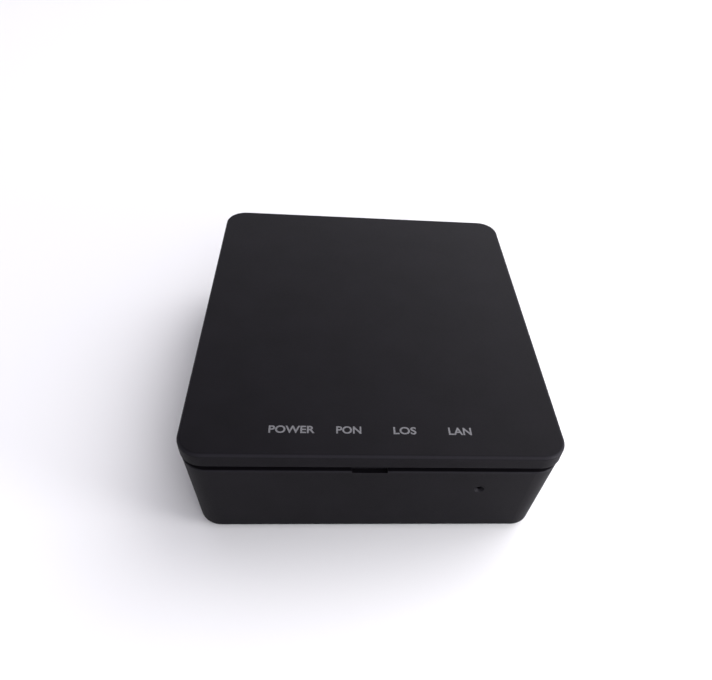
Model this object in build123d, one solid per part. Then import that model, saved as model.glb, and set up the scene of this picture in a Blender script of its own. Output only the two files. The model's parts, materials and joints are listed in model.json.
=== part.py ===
from build123d import *

# Optical network terminal: a small two-shell plastic box that turns one optical fibre into one LAN port.
#
# Frame, in millimetres: +Z is up and the origin is on the surface that the feet stand on, under the middle of
# the box. The indicator labels are along the front edge (-Y), and every socket is in the rear wall (+Y).
# Each function makes one separate physical piece, and NODES at the end names them all.

import math
import os

# ---- casing: driving dimensions -------------------------------------------------------------------------
BODY_W = 82.0
BODY_D = 94.0
TOTAL_H = 29.0
COVER_CORNER_R = 5.6
TRAY_CORNER_R = 6.2
FOOT_H = 0.8
COVER_H = 3.75  # outer height of the top cover's skirt
SEAM_GAP = 1.35  # visible groove between the cover and the tray
WALL = 2.2
FLOOR_T = 2.0
ROOF_T = 2.0
DRAFT_DEG = 2.43  # the tray narrows towards its underside
TOP_EDGE_R = 0.8
UNDERSIDE_EDGE_R = 1.1

UNDERSIDE_Z = FOOT_H
FLOOR_Z = UNDERSIDE_Z + FLOOR_T
SKIRT_Z = TOTAL_H - COVER_H
RIM_Z = SKIRT_Z - SEAM_GAP
ROOF_Z = TOTAL_H - ROOF_T
DRAFT = math.tan(math.radians(DRAFT_DEG))

TONGUE_OUT = 1.3  # how far the tray's tongue stands in from the outer face
TONGUE_TOP_Z = RIM_Z + 2.6
SKIRT_T = 1.15
GAP = 0.2  # general moulding clearance

# ---- board ----------------------------------------------------------------------------------------------
BOARD_W = 73.0
BOARD_D = 84.4
BOARD_T = 1.6
STANDOFF_H = 3.2
BOARD_Z = FLOOR_Z + STANDOFF_H
BOARD_TOP = BOARD_Z + BOARD_T
BOARD_HOLES = [(x, y) for x in (-33.0, 33.0) for y in (-38.0, 38.0)]
BOARD_HOLE_R = 1.4
STANDOFF_R = 2.6

# ---- case screws ----------------------------------------------------------------------------------------
CASE_SCREWS = [(x, y) for x in (-33.5, 33.5) for y in (-29.0, 29.0)]
COLUMN_R = 4.2
COLUMN_TOP_Z = 9.8
WELL_R = 3.2
SEAT_Z = 6.8
CASE_SHANK_R = 1.4
CASE_SHANK_L = 13.2
CASE_HEAD_R, CASE_HEAD_H = 2.8, 1.9
BOARD_SHANK_R = 1.2
BOARD_HEAD_R, BOARD_HEAD_H = 2.3, 1.6
RECESS_LONG, RECESS_THIN = 2.6, 0.7  # the arms of the screws' cross recess
POST_R = 3.0
POST_Z = COLUMN_TOP_Z + GAP

# ---- feet, label, vents and wall keyholes ---------------------------------------------------------------
FEET = [(x, y) for x in (-32.0, 32.0) for y in (-39.0, 39.0)]
FOOT_R = 4.5
FOOT_RECESS = 0.5
LABEL_W, LABEL_D, LABEL_Y = 46.0, 24.0, -22.0
LABEL_RECESS = 0.2
SIDE_VENTS, SIDE_VENT_PITCH, SIDE_VENT_W, SIDE_VENT_L = 11, 3.8, 1.6, 11.0
SIDE_VENT_Z = 13.6
FLOOR_VENTS, FLOOR_VENT_PITCH, FLOOR_VENT_W, FLOOR_VENT_L = 10, 4.0, 1.6, 20.0
FLOOR_VENT_Y = 24.0
KEYHOLE_X, KEYHOLE_Y = 27.0, 2.0
KEYHOLE_R = 3.5
KEYHOLE_SLOT_R = 1.8
KEYHOLE_RUN = 8.0

# ---- rear panel: the recess that holds every socket -----------------------------------------------------
PANEL_Y = BODY_D / 2 - 2.4
PANEL_T = 1.8
PANEL_IN_Y = PANEL_Y - PANEL_T
RECESS_W, RECESS_LOW_Z, RECESS_HIGH_Z = 72.0, 4.6, 22.2
RECESS_CORNER_R = 1.6
NOSE_Y = PANEL_Y - 0.4  # front face of the sockets that stand through the panel
CUTOUT_GAP = 0.3

# ---- optical port ---------------------------------------------------------------------------------------
PORT_X, PORT_Z = -22.4, 13.0
PORT_W, PORT_TOP_Z, PORT_L = 13.0, 18.2, 26.0
PORT_CAVITY_W, PORT_CAVITY_H, PORT_CAVITY_L = 9.2, 7.6, 18.0
KEYWAY_W, KEYWAY_H = 2.4, 0.7
PORT_BACK_Y = NOSE_Y - PORT_L
CAVITY_BACK_Y = NOSE_Y - PORT_CAVITY_L
ARM_IN, ARM_OUT, ARM_HOOK = 2.7, 3.5, 3.95  # the latch arms, measured sideways from the port's middle
ARM_TIP_Y, ARM_W, ARM_HOOK_L = NOSE_Y - 6.2, 3.6, 1.4
BARREL_R, BARREL_TIP_Y, BARREL_END_Y = 2.3, NOSE_Y - 5.6, NOSE_Y - 28.0
SLEEVE_R, SLEEVE_BORE_R, SLEEVE_L, SLEEVE_SLIT = 1.6, 1.25, 9.0, 0.4
SLEEVE_Y = (BARREL_TIP_Y - 0.65 - SLEEVE_L, BARREL_TIP_Y - 0.65)
STUB_R, STUB_L = 1.25, 5.9
HEAD_W, HEAD_Y = 6.4, (BARREL_END_Y - 8.6, BARREL_END_Y)
LASER_FLANGE_R, LASER_CAN_R = 2.8, 2.3
RECEIVER_FLANGE_R, RECEIVER_CAN_R = 2.7, 2.3
WIRE_R, WIRE_PITCH = 0.22, 1.3
SHUTTER_AXIS_Y, SHUTTER_AXIS_Z = PANEL_Y + 1.15, 20.0
SHUTTER_W, SHUTTER_T, SHUTTER_LOW_Z = 11.6, 1.0, 8.2
KNUCKLE_R, HINGE_PIN_R, KNUCKLE_BORE_R, EAR_BORE_R = 1.0, 0.48, 0.55, 0.5
EAR_IN, EAR_OUT = 6.6, 7.8  # ears, measured sideways from the port's middle
KNUCKLE_ENDS = (-6.4, 3.6)
LIP_W, LIP_OUT = 7.0, 0.7
SPRING_WIRE_R, SPRING_COIL_R, SPRING_TURNS, SPRING_PITCH = 0.13, 0.78, 4, 0.6

# ---- LAN jack -------------------------------------------------------------------------------------------
LAN_X = 0.0
LAN_W, LAN_H, LAN_L = 15.9, 13.4, 21.3
LAN_SHIELD_T = 0.3
LAN_CAVITY_W, LAN_CAVITY_LOW_Z, LAN_CAVITY_HIGH_Z, LAN_CAVITY_L = 11.9, 11.0, 17.9, 14.0
LAN_LATCH_W, LAN_LATCH_NECK_W = 6.4, 3.6
LAN_CONTACTS, LAN_CONTACT_PITCH = 8, 1.02
LAN_CONTACT_TILT, LAN_CONTACT_L = 20.0, 9.0
LAN_FINGER_Y, LAN_FINGER_Z = (NOSE_Y - 12.2, NOSE_Y - 5.2), (12.6, 15.6)
LAN_Y = (NOSE_Y - LAN_L, NOSE_Y)
LAN_Z = (BOARD_TOP, BOARD_TOP + LAN_H)

# ---- DC jack --------------------------------------------------------------------------------------------
DC_X, DC_Z = 15.0, 14.2
DC_W, DC_H, DC_L = 9.0, 11.0, 14.0
DC_FACE_Y = PANEL_IN_Y - GAP
DC_BARREL_R, DC_BARREL_L = 3.15, 10.0
DC_PIN_R, DC_PIN_L = 1.0, 8.0
DC_PANEL_HOLE_R = 4.0
DC_Y = (DC_FACE_Y - DC_L, DC_FACE_Y)
DC_SPRING_W, DC_SPRING_T = 2.4, 0.3

# ---- power switch ---------------------------------------------------------------------------------------
SWITCH_X, SWITCH_Z = 24.6, 13.2
SWITCH_W, SWITCH_H, SWITCH_L = 8.6, 10.6, 12.0
SWITCH_Y = (PANEL_Y - 10.6 - SWITCH_L, PANEL_Y - 10.6)
STEM_W = 3.2
BUTTON_R, BUTTON_Y = 3.8, (PANEL_Y - 7.2, PANEL_Y + 1.6)
BUTTON_HOLE_R = 4.1
SOCKET_L = 2.6  # how far the stem goes into the cap

# ---- reset ----------------------------------------------------------------------------------------------
RESET_X, RESET_Z = 23.7, 17.2
RESET_HOLE_R, RESET_MOUTH_R, RESET_MOUTH_L = 0.6, 1.2, 0.6
TACT_Z = BOARD_TOP + 3.4
TACT_W, TACT_H, TACT_Y = 6.0, 6.2, (-37.9, -34.4)
TACT_STEM_R, TACT_STEM_OUT = 1.7, 1.0
PLUNGER_R, PLUNGER_HEAD_R = 1.0, 1.6
GUIDE_W, GUIDE_Y = 5.6, (-42.0, -40.6)
LEG_W, LEG_Y = 3.0, (-40.3, TACT_Y[0] - TACT_STEM_OUT)

# ---- indicators -----------------------------------------------------------------------------------------
LED_X = [-18.0, -6.0, 6.0, 18.0]
LED_Y = -40.0
LED_W, LED_L, LED_H = 2.0, 1.25, 0.8
PIPE_R = 1.2
PIPE_TIP_Z = TOTAL_H - 0.7
PIPE_WEB_Z = (22.0, 23.4)
STAKE_X = [-12.0, 12.0]
STAKE_R = 0.8

# ---- front latch, and the ribs under the roof -----------------------------------------------------------
PRY_X, PRY_W, PRY_H = -1.2, 7.6, 0.5
LATCH_W, LATCH_T, LATCH_BUMP = 7.0, 1.2, 0.9
LATCH_Y, LATCH_Z = -44.2, 20.7
RIB_T, RIB_H = 1.0, 1.2
LONG_RIB_X, LONG_RIB_Y = (-24.0, 24.0), (-34.0, 40.0)
CROSS_RIB_Y, CROSS_RIB_X = (-14.0, 10.0), (-36.0, 36.0)

# ---- parts on the board ---------------------------------------------------------------------------------
SOC_X, SOC_Y, SOC_W, SOC_H = -2.0, -8.0, 15.0, 1.3
PAD_W, PAD_T = 13.5, 0.8
SINK_W, SINK_BASE_T, SINK_H = 24.0, 1.8, 8.0
SINK_FINS, SINK_FIN_T = 8, 1.2
LEADED_CHIPS = {  # x, y, length along Y, width along X, height, pins a side, pitch
    "flash_chip": (18.0, -22.0, 5.2, 5.2, 1.9, 4, 1.27),
    "lan_transformer": (0.0, 12.0, 14.6, 9.0, 4.2, 12, 1.0),
    "step_down_converter": (28.5, 10.0, 4.9, 3.9, 1.6, 4, 1.27),
}
LEAD_W, LEAD_T = 0.4, 0.15
MEMORY = (19.0, -9.0, 9.0, 12.0, 1.1)  # x, y, width, length, height; the same for the next four
LASER_DRIVER = (-23.0, -14.0, 5.0, 5.0, 0.9)
SHIELD_CAN = (-23.0, -13.0, 16.0, 14.0, 3.2)
CRYSTAL_CAN = (18.0, -30.0, 10.6, 4.4, 3.4)
CRYSTAL_FLANGE = (18.0, -30.0, 11.4, 4.8, 0.4)
SHIELD_T, SHIELD_HOLE_R, SHIELD_HOLE_PITCH = 0.25, 0.6, 4.0
CAPACITORS = [(13.0, 20.5, 3.15, 7.7), (22.0, 16.0, 2.5, 5.4), (13.5, 5.5, 2.5, 5.4)]  # x, y, radius, height
CAPACITOR_BASE_H = 1.0
INDUCTORS = [(28.5, 1.5), (28.5, -8.0)]
INDUCTOR_W, INDUCTOR_H = 6.0, 2.8
PASSIVE_W, PASSIVE_L, PASSIVE_H = 0.8, 1.6, 0.6
PASSIVES = (
    [(x, -24.0) for x in range(-14, 8, 3)]
    + [(x, 2.2 if x % 2 else 3.6) for x in range(-12, 7, 3)]
    + [(33.5, y) for y in range(-16, 15, 4)]
    + [(-34.0, y) for y in range(-18, 15, 4)]
    + [(-12.0, y) for y in range(6, 20, 3)]
)
HEADER_X, HEADER_Y, HEADER_PINS, HEADER_PITCH = -20.0, -29.0, 4, 2.54
HEADER_H, HEADER_PIN_W, HEADER_PIN_L = 2.5, 0.64, 6.0


# ---- helpers --------------------------------------------------------------------------------------------
def around(middle, width):
    """The (low, high) span of this width about a middle."""
    return middle - width / 2, middle + width / 2


def block(x, y, z):
    """A box between the (low, high) spans along each axis."""
    spans = (x, y, z)
    return Pos(*[sum(s) / 2 for s in spans]) * Box(*[s[1] - s[0] for s in spans])


def soft_block(x, y, z, axis, radius):
    """A box whose four edges along one axis are rounded."""
    shape = block(x, y, z)
    return fillet(shape.edges().filter_by(axis), radius)


def rod_x(y, z, radius, x):
    return Pos(sum(x) / 2, y, z) * Rot(0, 90, 0) * Cylinder(radius, x[1] - x[0])


def rod_y(x, z, radius, y):
    return Pos(x, sum(y) / 2, z) * Rot(90, 0, 0) * Cylinder(radius, y[1] - y[0])


def rod_z(x, y, radius, z):
    return Pos(x, y, sum(z) / 2) * Cylinder(radius, z[1] - z[0])


def rounded_prism(corner_r, inset, z, taper=0.0):
    """The casing's outline with this corner radius, moved in by inset, and extruded through the span z."""
    top = Plane((0, 0, z[1]), x_dir=(1, 0, 0), z_dir=(0, 0, -1))
    outline = RectangleRounded(BODY_W - 2 * inset, BODY_D - 2 * inset, corner_r - inset)
    return extrude(top * outline, amount=z[1] - z[0], taper=taper)


def flat_part(x, y, width, length, height):
    """A block of this size that stands on the board."""
    return block(around(x, width), around(y, length), (BOARD_TOP, BOARD_TOP + height))


def at_each(places, make):
    """The same piece at each place, as one group of separate solids."""
    return Compound(children=[make(*place) for place in places])


def group(shapes):
    return Compound(children=list(shapes))


def cross_recess(x, y, z, depth, up):
    """A Phillips recess, sunk by depth from the face at z; up is 1 for a face that looks up, else -1."""
    span = sorted((z - up * depth, z + up * 0.1))
    long_arm = block(around(x, RECESS_LONG), around(y, RECESS_THIN), span)
    return long_arm + block(around(x, RECESS_THIN), around(y, RECESS_LONG), span)


# ---- casing ---------------------------------------------------------------------------------------------
def rim_tongue():
    """The thin wall that stands up from the tray's rim, inside the cover's skirt."""
    span = (RIM_Z - 0.5, TONGUE_TOP_Z)
    return rounded_prism(TRAY_CORNER_R, TONGUE_OUT, span) - rounded_prism(TRAY_CORNER_R, WALL, span)


def rear_cutouts():
    """Everything that is cut through the rear panel."""
    through = (PANEL_IN_Y - 0.5, PANEL_Y + 0.5)
    port_span = (BOARD_TOP - CUTOUT_GAP, PORT_TOP_Z + CUTOUT_GAP)
    lan_span = (BOARD_TOP - CUTOUT_GAP, BOARD_TOP + LAN_H + CUTOUT_GAP)
    port = soft_block(around(PORT_X, PORT_W + 2 * CUTOUT_GAP), through, port_span, Axis.Y, 0.5)
    lan = soft_block(around(LAN_X, LAN_W + 2 * CUTOUT_GAP), through, lan_span, Axis.Y, 0.5)
    dc = rod_y(DC_X, DC_Z, DC_PANEL_HOLE_R, through)
    button = rod_y(SWITCH_X, SWITCH_Z, BUTTON_HOLE_R, through)
    return port + lan + dc + button


def side_vent(side, n):
    """One upright slot with round ends through a side wall."""
    y = (n - (SIDE_VENTS - 1) / 2) * SIDE_VENT_PITCH
    straight = SIDE_VENT_L - SIDE_VENT_W
    x = around(side * BODY_W / 2, 3 * WALL)
    slot = block(x, around(y, SIDE_VENT_W), around(SIDE_VENT_Z, straight))
    for end in (-1, 1):
        slot += rod_x(y, SIDE_VENT_Z + end * straight / 2, SIDE_VENT_W / 2, x)
    return slot


def floor_vent(n):
    """One slot with round ends through the floor."""
    x = (n - (FLOOR_VENTS - 1) / 2) * FLOOR_VENT_PITCH
    straight = FLOOR_VENT_L - FLOOR_VENT_W
    z = (UNDERSIDE_Z - 0.5, FLOOR_Z + 0.5)
    slot = block(around(x, FLOOR_VENT_W), around(FLOOR_VENT_Y, straight), z)
    for end in (-1, 1):
        slot += rod_z(x, FLOOR_VENT_Y + end * straight / 2, FLOOR_VENT_W / 2, z)
    return slot


def keyhole(side):
    """A wall keyhole: a round entry for the screw's head and a slot for its shank, towards the front."""
    x = side * KEYHOLE_X
    z = (UNDERSIDE_Z - 0.5, FLOOR_Z + 0.5)
    slot = block(around(x, 2 * KEYHOLE_SLOT_R), (KEYHOLE_Y - KEYHOLE_RUN, KEYHOLE_Y), z)
    end = rod_z(x, KEYHOLE_Y - KEYHOLE_RUN, KEYHOLE_SLOT_R, z)
    return slot + end + rod_z(x, KEYHOLE_Y, KEYHOLE_R, z)


def hinge_ears():
    """Two small ears on the rear panel that carry the shutter's hinge pin."""
    ears = []
    for side in (-1, 1):
        x = sorted((PORT_X + side * EAR_IN, PORT_X + side * EAR_OUT))
        ear = block(x, (PANEL_Y - 0.5, SHUTTER_AXIS_Y), around(SHUTTER_AXIS_Z, 2 * KNUCKLE_R))
        ear += rod_x(SHUTTER_AXIS_Y, SHUTTER_AXIS_Z, KNUCKLE_R, x)
        ears.append(ear - rod_x(SHUTTER_AXIS_Y, SHUTTER_AXIS_Z, EAR_BORE_R, x))
    return ears


def base_tray():
    outer = rounded_prism(TRAY_CORNER_R, 0, (UNDERSIDE_Z, RIM_Z), DRAFT_DEG)
    outer = fillet(outer.faces().sort_by(Axis.Z)[0].edges(), UNDERSIDE_EDGE_R)
    outer = chamfer(outer.faces().sort_by(Axis.Z)[-1].edges(), 0.2)
    tray = outer - rounded_prism(TRAY_CORNER_R, WALL, (FLOOR_Z, RIM_Z), DRAFT_DEG) + rim_tongue()

    # The rear wall steps in to make the socket recess.
    step_z = (FLOOR_Z - 0.5, RECESS_HIGH_Z + 1.4)
    tray += block(around(0, RECESS_W + 3.0), (PANEL_IN_Y, PANEL_Y + 1.0), step_z)
    recess_z = (RECESS_LOW_Z, RECESS_HIGH_Z)
    tray -= soft_block(around(0, RECESS_W), (PANEL_Y, BODY_D), recess_z, Axis.Y, RECESS_CORNER_R)
    tray -= rear_cutouts()
    for ear in hinge_ears():
        tray += ear

    for x, y in BOARD_HOLES:
        tray += rod_z(x, y, STANDOFF_R, (FLOOR_Z - 0.2, BOARD_Z))
        tray -= rod_z(x, y, BOARD_HOLE_R - 0.15, (FLOOR_Z, BOARD_Z + 0.1))
    for x, y in CASE_SCREWS:
        tray += rod_z(x, y, COLUMN_R, (FLOOR_Z - 0.2, COLUMN_TOP_Z))
        tray -= rod_z(x, y, WELL_R, (UNDERSIDE_Z - 0.1, SEAT_Z))
        tray -= rod_z(x, y, CASE_SHANK_R + GAP, (SEAT_Z - 0.1, COLUMN_TOP_Z + 0.1))
    for x, y in FEET:
        tray -= rod_z(x, y, FOOT_R + 0.1, (UNDERSIDE_Z - 0.1, UNDERSIDE_Z + FOOT_RECESS))
    label_z = (UNDERSIDE_Z - 0.1, UNDERSIDE_Z + LABEL_RECESS)
    tray -= soft_block(around(0, LABEL_W + 0.6), around(LABEL_Y, LABEL_D + 0.6), label_z, Axis.Z, 1.2)
    for n in range(FLOOR_VENTS):
        tray -= floor_vent(n)
    for side in (-1, 1):
        tray -= keyhole(side)
        for n in range(SIDE_VENTS):
            tray -= side_vent(side, n)

    # The reset pinhole in the front wall, with a countersunk mouth.
    front_y = -BODY_D / 2 + (RIM_Z - RESET_Z) * DRAFT
    tray -= rod_y(RESET_X, RESET_Z, RESET_HOLE_R, (front_y - 0.5, front_y + WALL + 1.0))
    mouth = Cone(RESET_MOUTH_R, RESET_HOLE_R, RESET_MOUTH_L)
    tray -= Pos(RESET_X, front_y + RESET_MOUTH_L / 2 - 0.05, RESET_Z) * Rot(-90, 0, 0) * mouth

    # The pry notch in the rim, and the pocket that the cover's latch snaps into.
    notch_y = (-BODY_D / 2 - 0.5, -BODY_D / 2 + TONGUE_OUT)
    tray -= block(around(PRY_X, PRY_W), notch_y, (RIM_Z - PRY_H, RIM_Z + 0.1))
    tray -= block(around(0, LATCH_W + 1.0), (LATCH_Y - 1.4, LATCH_Y + 0.2), around(LATCH_Z, 2.0))
    return tray


def top_cover():
    shell = rounded_prism(COVER_CORNER_R, 0, (SKIRT_Z, TOTAL_H))
    shell = fillet(shell.faces().sort_by(Axis.Z)[-1].edges(), TOP_EDGE_R)
    shell = chamfer(shell.faces().sort_by(Axis.Z)[0].edges(), 0.25)
    shell -= rounded_prism(COVER_CORNER_R, SKIRT_T, (SKIRT_Z - 0.1, TONGUE_TOP_Z + GAP))
    shell -= rounded_prism(COVER_CORNER_R, WALL, (TONGUE_TOP_Z, ROOF_Z))

    for x, y in CASE_SCREWS:
        shell += rod_z(x, y, POST_R, (POST_Z, ROOF_Z + 0.1))
        shell -= rod_z(x, y, CASE_SHANK_R + 0.05, (POST_Z - 0.1, SEAT_Z + CASE_SHANK_L + 1.5))
    for x in STAKE_X:
        shell += rod_z(x, LED_Y, STAKE_R, (PIPE_WEB_Z[0] - 0.6, ROOF_Z + 0.1))
    for x in LED_X:  # each light pipe ends in a pocket under a thin skin, so its lamp shows only when lit
        shell -= rod_z(x, LED_Y, PIPE_R + 0.15, (ROOF_Z - 0.1, PIPE_TIP_Z + 0.1))

    # A cantilever latch behind the front wall, and stiffening ribs under the roof.
    latch = block(around(0, LATCH_W), (LATCH_Y, LATCH_Y + LATCH_T), (LATCH_Z - 1.5, ROOF_Z + 0.1))
    shell += latch + block(around(0, LATCH_W), (LATCH_Y - LATCH_BUMP, LATCH_Y + 0.1), around(LATCH_Z, 1.0))
    rib_z = (ROOF_Z - RIB_H, ROOF_Z + 0.1)
    for x in LONG_RIB_X:
        shell += block(around(x, RIB_T), LONG_RIB_Y, rib_z)
    for y in CROSS_RIB_Y:
        shell += block(CROSS_RIB_X, around(y, RIB_T), rib_z)
    return shell


def case_screws():
    def screw(x, y):
        head = rod_z(x, y, CASE_HEAD_R, (SEAT_Z - CASE_HEAD_H, SEAT_Z))
        head = fillet(head.edges().group_by(Axis.Z)[0], 0.6)
        shank = rod_z(x, y, CASE_SHANK_R, (SEAT_Z, SEAT_Z + CASE_SHANK_L))
        shank = chamfer(shank.edges().group_by(Axis.Z)[-1], 0.5)
        return head + shank - cross_recess(x, y, SEAT_Z - CASE_HEAD_H, 1.1, -1)

    return at_each(CASE_SCREWS, screw)


def board_screws():
    top = BOARD_TOP + BOARD_HEAD_H

    def screw(x, y):
        head = fillet(rod_z(x, y, BOARD_HEAD_R, (BOARD_TOP, top)).edges().group_by(Axis.Z)[-1], 0.6)
        shank = rod_z(x, y, BOARD_SHANK_R, (FLOOR_Z + 0.3, BOARD_TOP))
        return head + shank - cross_recess(x, y, top, 0.9, 1)

    return at_each(BOARD_HOLES, screw)


def rubber_feet():
    def foot(x, y):
        pad = rod_z(x, y, FOOT_R, (0, UNDERSIDE_Z + FOOT_RECESS))
        return fillet(pad.edges().group_by(Axis.Z)[0], 0.5)

    return at_each(FEET, foot)


def rating_label():
    z = (UNDERSIDE_Z + 0.05, UNDERSIDE_Z + LABEL_RECESS)
    return soft_block(around(0, LABEL_W), around(LABEL_Y, LABEL_D), z, Axis.Z, 1.0)


# ---- board ----------------------------------------------------------------------------------------------
def main_board():
    z = (BOARD_Z, BOARD_TOP)
    board = soft_block(around(0, BOARD_W), around(0, BOARD_D), z, Axis.Z, 1.5)
    for x, y in BOARD_HOLES:
        board -= rod_z(x, y, BOARD_HOLE_R, (z[0] - 0.1, z[1] + 0.1))
    for x, y in CASE_SCREWS:
        side = math.copysign(1, x)
        edge = sorted((x, side * (BOARD_W / 2 + 1)))
        board -= rod_z(x, y, COLUMN_R + 0.4, (z[0] - 0.1, z[1] + 0.1))
        board -= block(edge, around(y, 2 * COLUMN_R + 0.8), (z[0] - 0.1, z[1] + 0.1))
    return board


def leaded_chip(x, y, length, width, height, pins, pitch):
    """A moulded chip with gull-wing leads along its two sides in X; returns (body, leads)."""
    lift = 0.1
    z = (BOARD_TOP + lift, BOARD_TOP + height)
    body = block(around(x, width), around(y, length), z)
    body = chamfer(body.faces().sort_by(Axis.Z)[-1].edges(), 0.2)
    leads = []
    arm_z = around(BOARD_TOP + height / 2, LEAD_T)
    for side in (-1, 1):
        root, knee, toe = (x + side * (width / 2 + out) for out in (0.0, 0.35, 0.95))
        for n in range(pins):
            pin_y = around(y + (n - (pins - 1) / 2) * pitch, LEAD_W)
            arm = block(sorted((root, knee)), pin_y, arm_z)
            leg = block(sorted((knee, knee + side * LEAD_T)), pin_y, (BOARD_TOP, arm_z[1]))
            foot = block(sorted((knee, toe)), pin_y, (BOARD_TOP, BOARD_TOP + LEAD_T))
            leads.append(arm + leg + foot)
    return body, leads


def soc_chip():
    chip = block(around(SOC_X, SOC_W), around(SOC_Y, SOC_W), (BOARD_TOP + 0.25, BOARD_TOP + SOC_H))
    return chip + block(around(SOC_X, SOC_W - 1), around(SOC_Y, SOC_W - 1), (BOARD_TOP, BOARD_TOP + 0.3))


def thermal_pad():
    z0 = BOARD_TOP + SOC_H
    return block(around(SOC_X, PAD_W), around(SOC_Y, PAD_W), (z0, z0 + PAD_T))


def heat_sink():
    z0 = BOARD_TOP + SOC_H + PAD_T
    x, y = around(SOC_X, SINK_W), around(SOC_Y, SINK_W)
    sink = block(x, y, (z0, z0 + SINK_BASE_T))
    for n in range(SINK_FINS):
        fin_x = x[0] + n * (SINK_W - SINK_FIN_T) / (SINK_FINS - 1)
        sink += block((fin_x, fin_x + SINK_FIN_T), y, (z0 + SINK_BASE_T - 0.1, z0 + SINK_H))
    return sink


def memory_chip():
    return flat_part(*MEMORY)


def laser_driver_chip():
    return flat_part(*LASER_DRIVER)


def rf_shield_can():
    """A thin drawn can, open below, with a square of vent holes in its top."""
    x, y, width, length, height = SHIELD_CAN
    top = BOARD_TOP + height
    can = fillet(flat_part(*SHIELD_CAN).edges().filter_by(Axis.Z), 1.0)
    can = fillet(can.faces().sort_by(Axis.Z)[-1].edges(), 0.4)
    inner_x, inner_y = around(x, width - 2 * SHIELD_T), around(y, length - 2 * SHIELD_T)
    can -= block(inner_x, inner_y, (BOARD_TOP - 0.1, top - SHIELD_T))
    for column in (-1, 0, 1):
        for row in (-1, 0, 1):
            place = x + column * SHIELD_HOLE_PITCH, y + row * SHIELD_HOLE_PITCH
            can -= rod_z(*place, SHIELD_HOLE_R, (top - 1, top + 0.1))
    return can


def crystal_can():
    can = fillet(flat_part(*CRYSTAL_CAN).edges().filter_by(Axis.Z), 2.1)
    flange = fillet(flat_part(*CRYSTAL_FLANGE).edges().filter_by(Axis.Z), 2.3)
    return fillet(can.faces().sort_by(Axis.Z)[-1].edges(), 0.5) + flange


def bulk_capacitors():
    """Surface-mount electrolytic cans."""

    def can(x, y, radius, height):
        z0 = BOARD_TOP + CAPACITOR_BASE_H
        body = rod_z(x, y, radius, (z0, BOARD_TOP + height))
        body = fillet(body.edges().group_by(Axis.Z)[-1], 0.4)
        groove_z = around(z0 + 0.9, 0.4)
        groove = rod_z(x, y, radius + 0.1, groove_z) - rod_z(x, y, radius - 0.25, groove_z)
        return body - groove

    return at_each(CAPACITORS, can)


def capacitor_bases():
    """The square black bases that the electrolytic cans stand on."""

    def base(x, y, radius, _height):
        side = 2 * radius + 0.5
        plate = flat_part(x, y, side, side, CAPACITOR_BASE_H)
        return chamfer(plate.edges().filter_by(Axis.Z).sort_by(Axis.X)[-2:], 0.9)

    return at_each(CAPACITORS, base)


def power_inductors():
    def choke(x, y):
        body = flat_part(x, y, INDUCTOR_W, INDUCTOR_W, INDUCTOR_H)
        body = fillet(body.edges().filter_by(Axis.Z), 1.5)
        return chamfer(body.faces().sort_by(Axis.Z)[-1].edges(), 0.3)

    return at_each(INDUCTORS, choke)


def chip_passives():
    """Small resistors and ceramic capacitors, each 1.6 by 0.8 mm."""
    return at_each(PASSIVES, lambda x, y: flat_part(x, y, PASSIVE_W, PASSIVE_L, PASSIVE_H))


def service_header():
    return flat_part(HEADER_X, HEADER_Y, HEADER_PINS * HEADER_PITCH, HEADER_PITCH, HEADER_H)


def service_header_pins():
    def pin(n):
        x = HEADER_X + (n - (HEADER_PINS - 1) / 2) * HEADER_PITCH
        z0 = BOARD_TOP + HEADER_H
        return block(around(x, HEADER_PIN_W), around(HEADER_Y, HEADER_PIN_W), (z0, z0 + HEADER_PIN_L))

    return group(pin(n) for n in range(HEADER_PINS))


# ---- indicators -----------------------------------------------------------------------------------------
def indicator_leds():
    return at_each([(x, LED_Y) for x in LED_X], lambda x, y: flat_part(x, y, LED_W, LED_L, LED_H))


def light_pipe():
    """One clear moulding: four rods on a web that is staked to the cover."""
    web = soft_block((LED_X[0] - 2.2, LED_X[-1] + 2.2), around(LED_Y, 3.2), PIPE_WEB_Z, Axis.Z, 1.2)
    for x in LED_X:
        web += rod_z(x, LED_Y, PIPE_R, (BOARD_TOP + LED_H + GAP, PIPE_TIP_Z))
    for x in STAKE_X:
        web -= rod_z(x, LED_Y, STAKE_R + 0.05, (PIPE_WEB_Z[0] - 0.1, PIPE_WEB_Z[1] + 0.1))
    return web


# ---- optical port ---------------------------------------------------------------------------------------
def optical_receptacle():
    """The plastic receptacle: a rectangular socket with a keyway on top and two latch arms inside."""
    body = block(around(PORT_X, PORT_W), (PORT_BACK_Y, NOSE_Y), (BOARD_TOP, PORT_TOP_Z))
    body = chamfer(body.edges().filter_by(Axis.Y).sort_by(Axis.Z)[-2:], 0.6)
    cavity_y = (CAVITY_BACK_Y, NOSE_Y + 0.1)
    cavity = block(around(PORT_X, PORT_CAVITY_W), cavity_y, around(PORT_Z, PORT_CAVITY_H))
    keyway_z = (PORT_Z, PORT_Z + PORT_CAVITY_H / 2 + KEYWAY_H)
    keyway = block(around(PORT_X, KEYWAY_W), (CAVITY_BACK_Y, NOSE_Y + 0.1), keyway_z)
    body -= cavity + keyway
    body -= rod_y(PORT_X, PORT_Z, BARREL_R, (PORT_BACK_Y - 0.1, CAVITY_BACK_Y + 0.1))
    for side in (-1, 1):
        inner, outer, hook = (PORT_X + side * out for out in (ARM_IN, ARM_OUT, ARM_HOOK))
        body += block(sorted((inner, outer)), (CAVITY_BACK_Y - 0.1, ARM_TIP_Y), around(PORT_Z, ARM_W))
        body += block(sorted((outer, hook)), (ARM_TIP_Y - ARM_HOOK_L, ARM_TIP_Y), around(PORT_Z, ARM_W))
    return body


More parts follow.
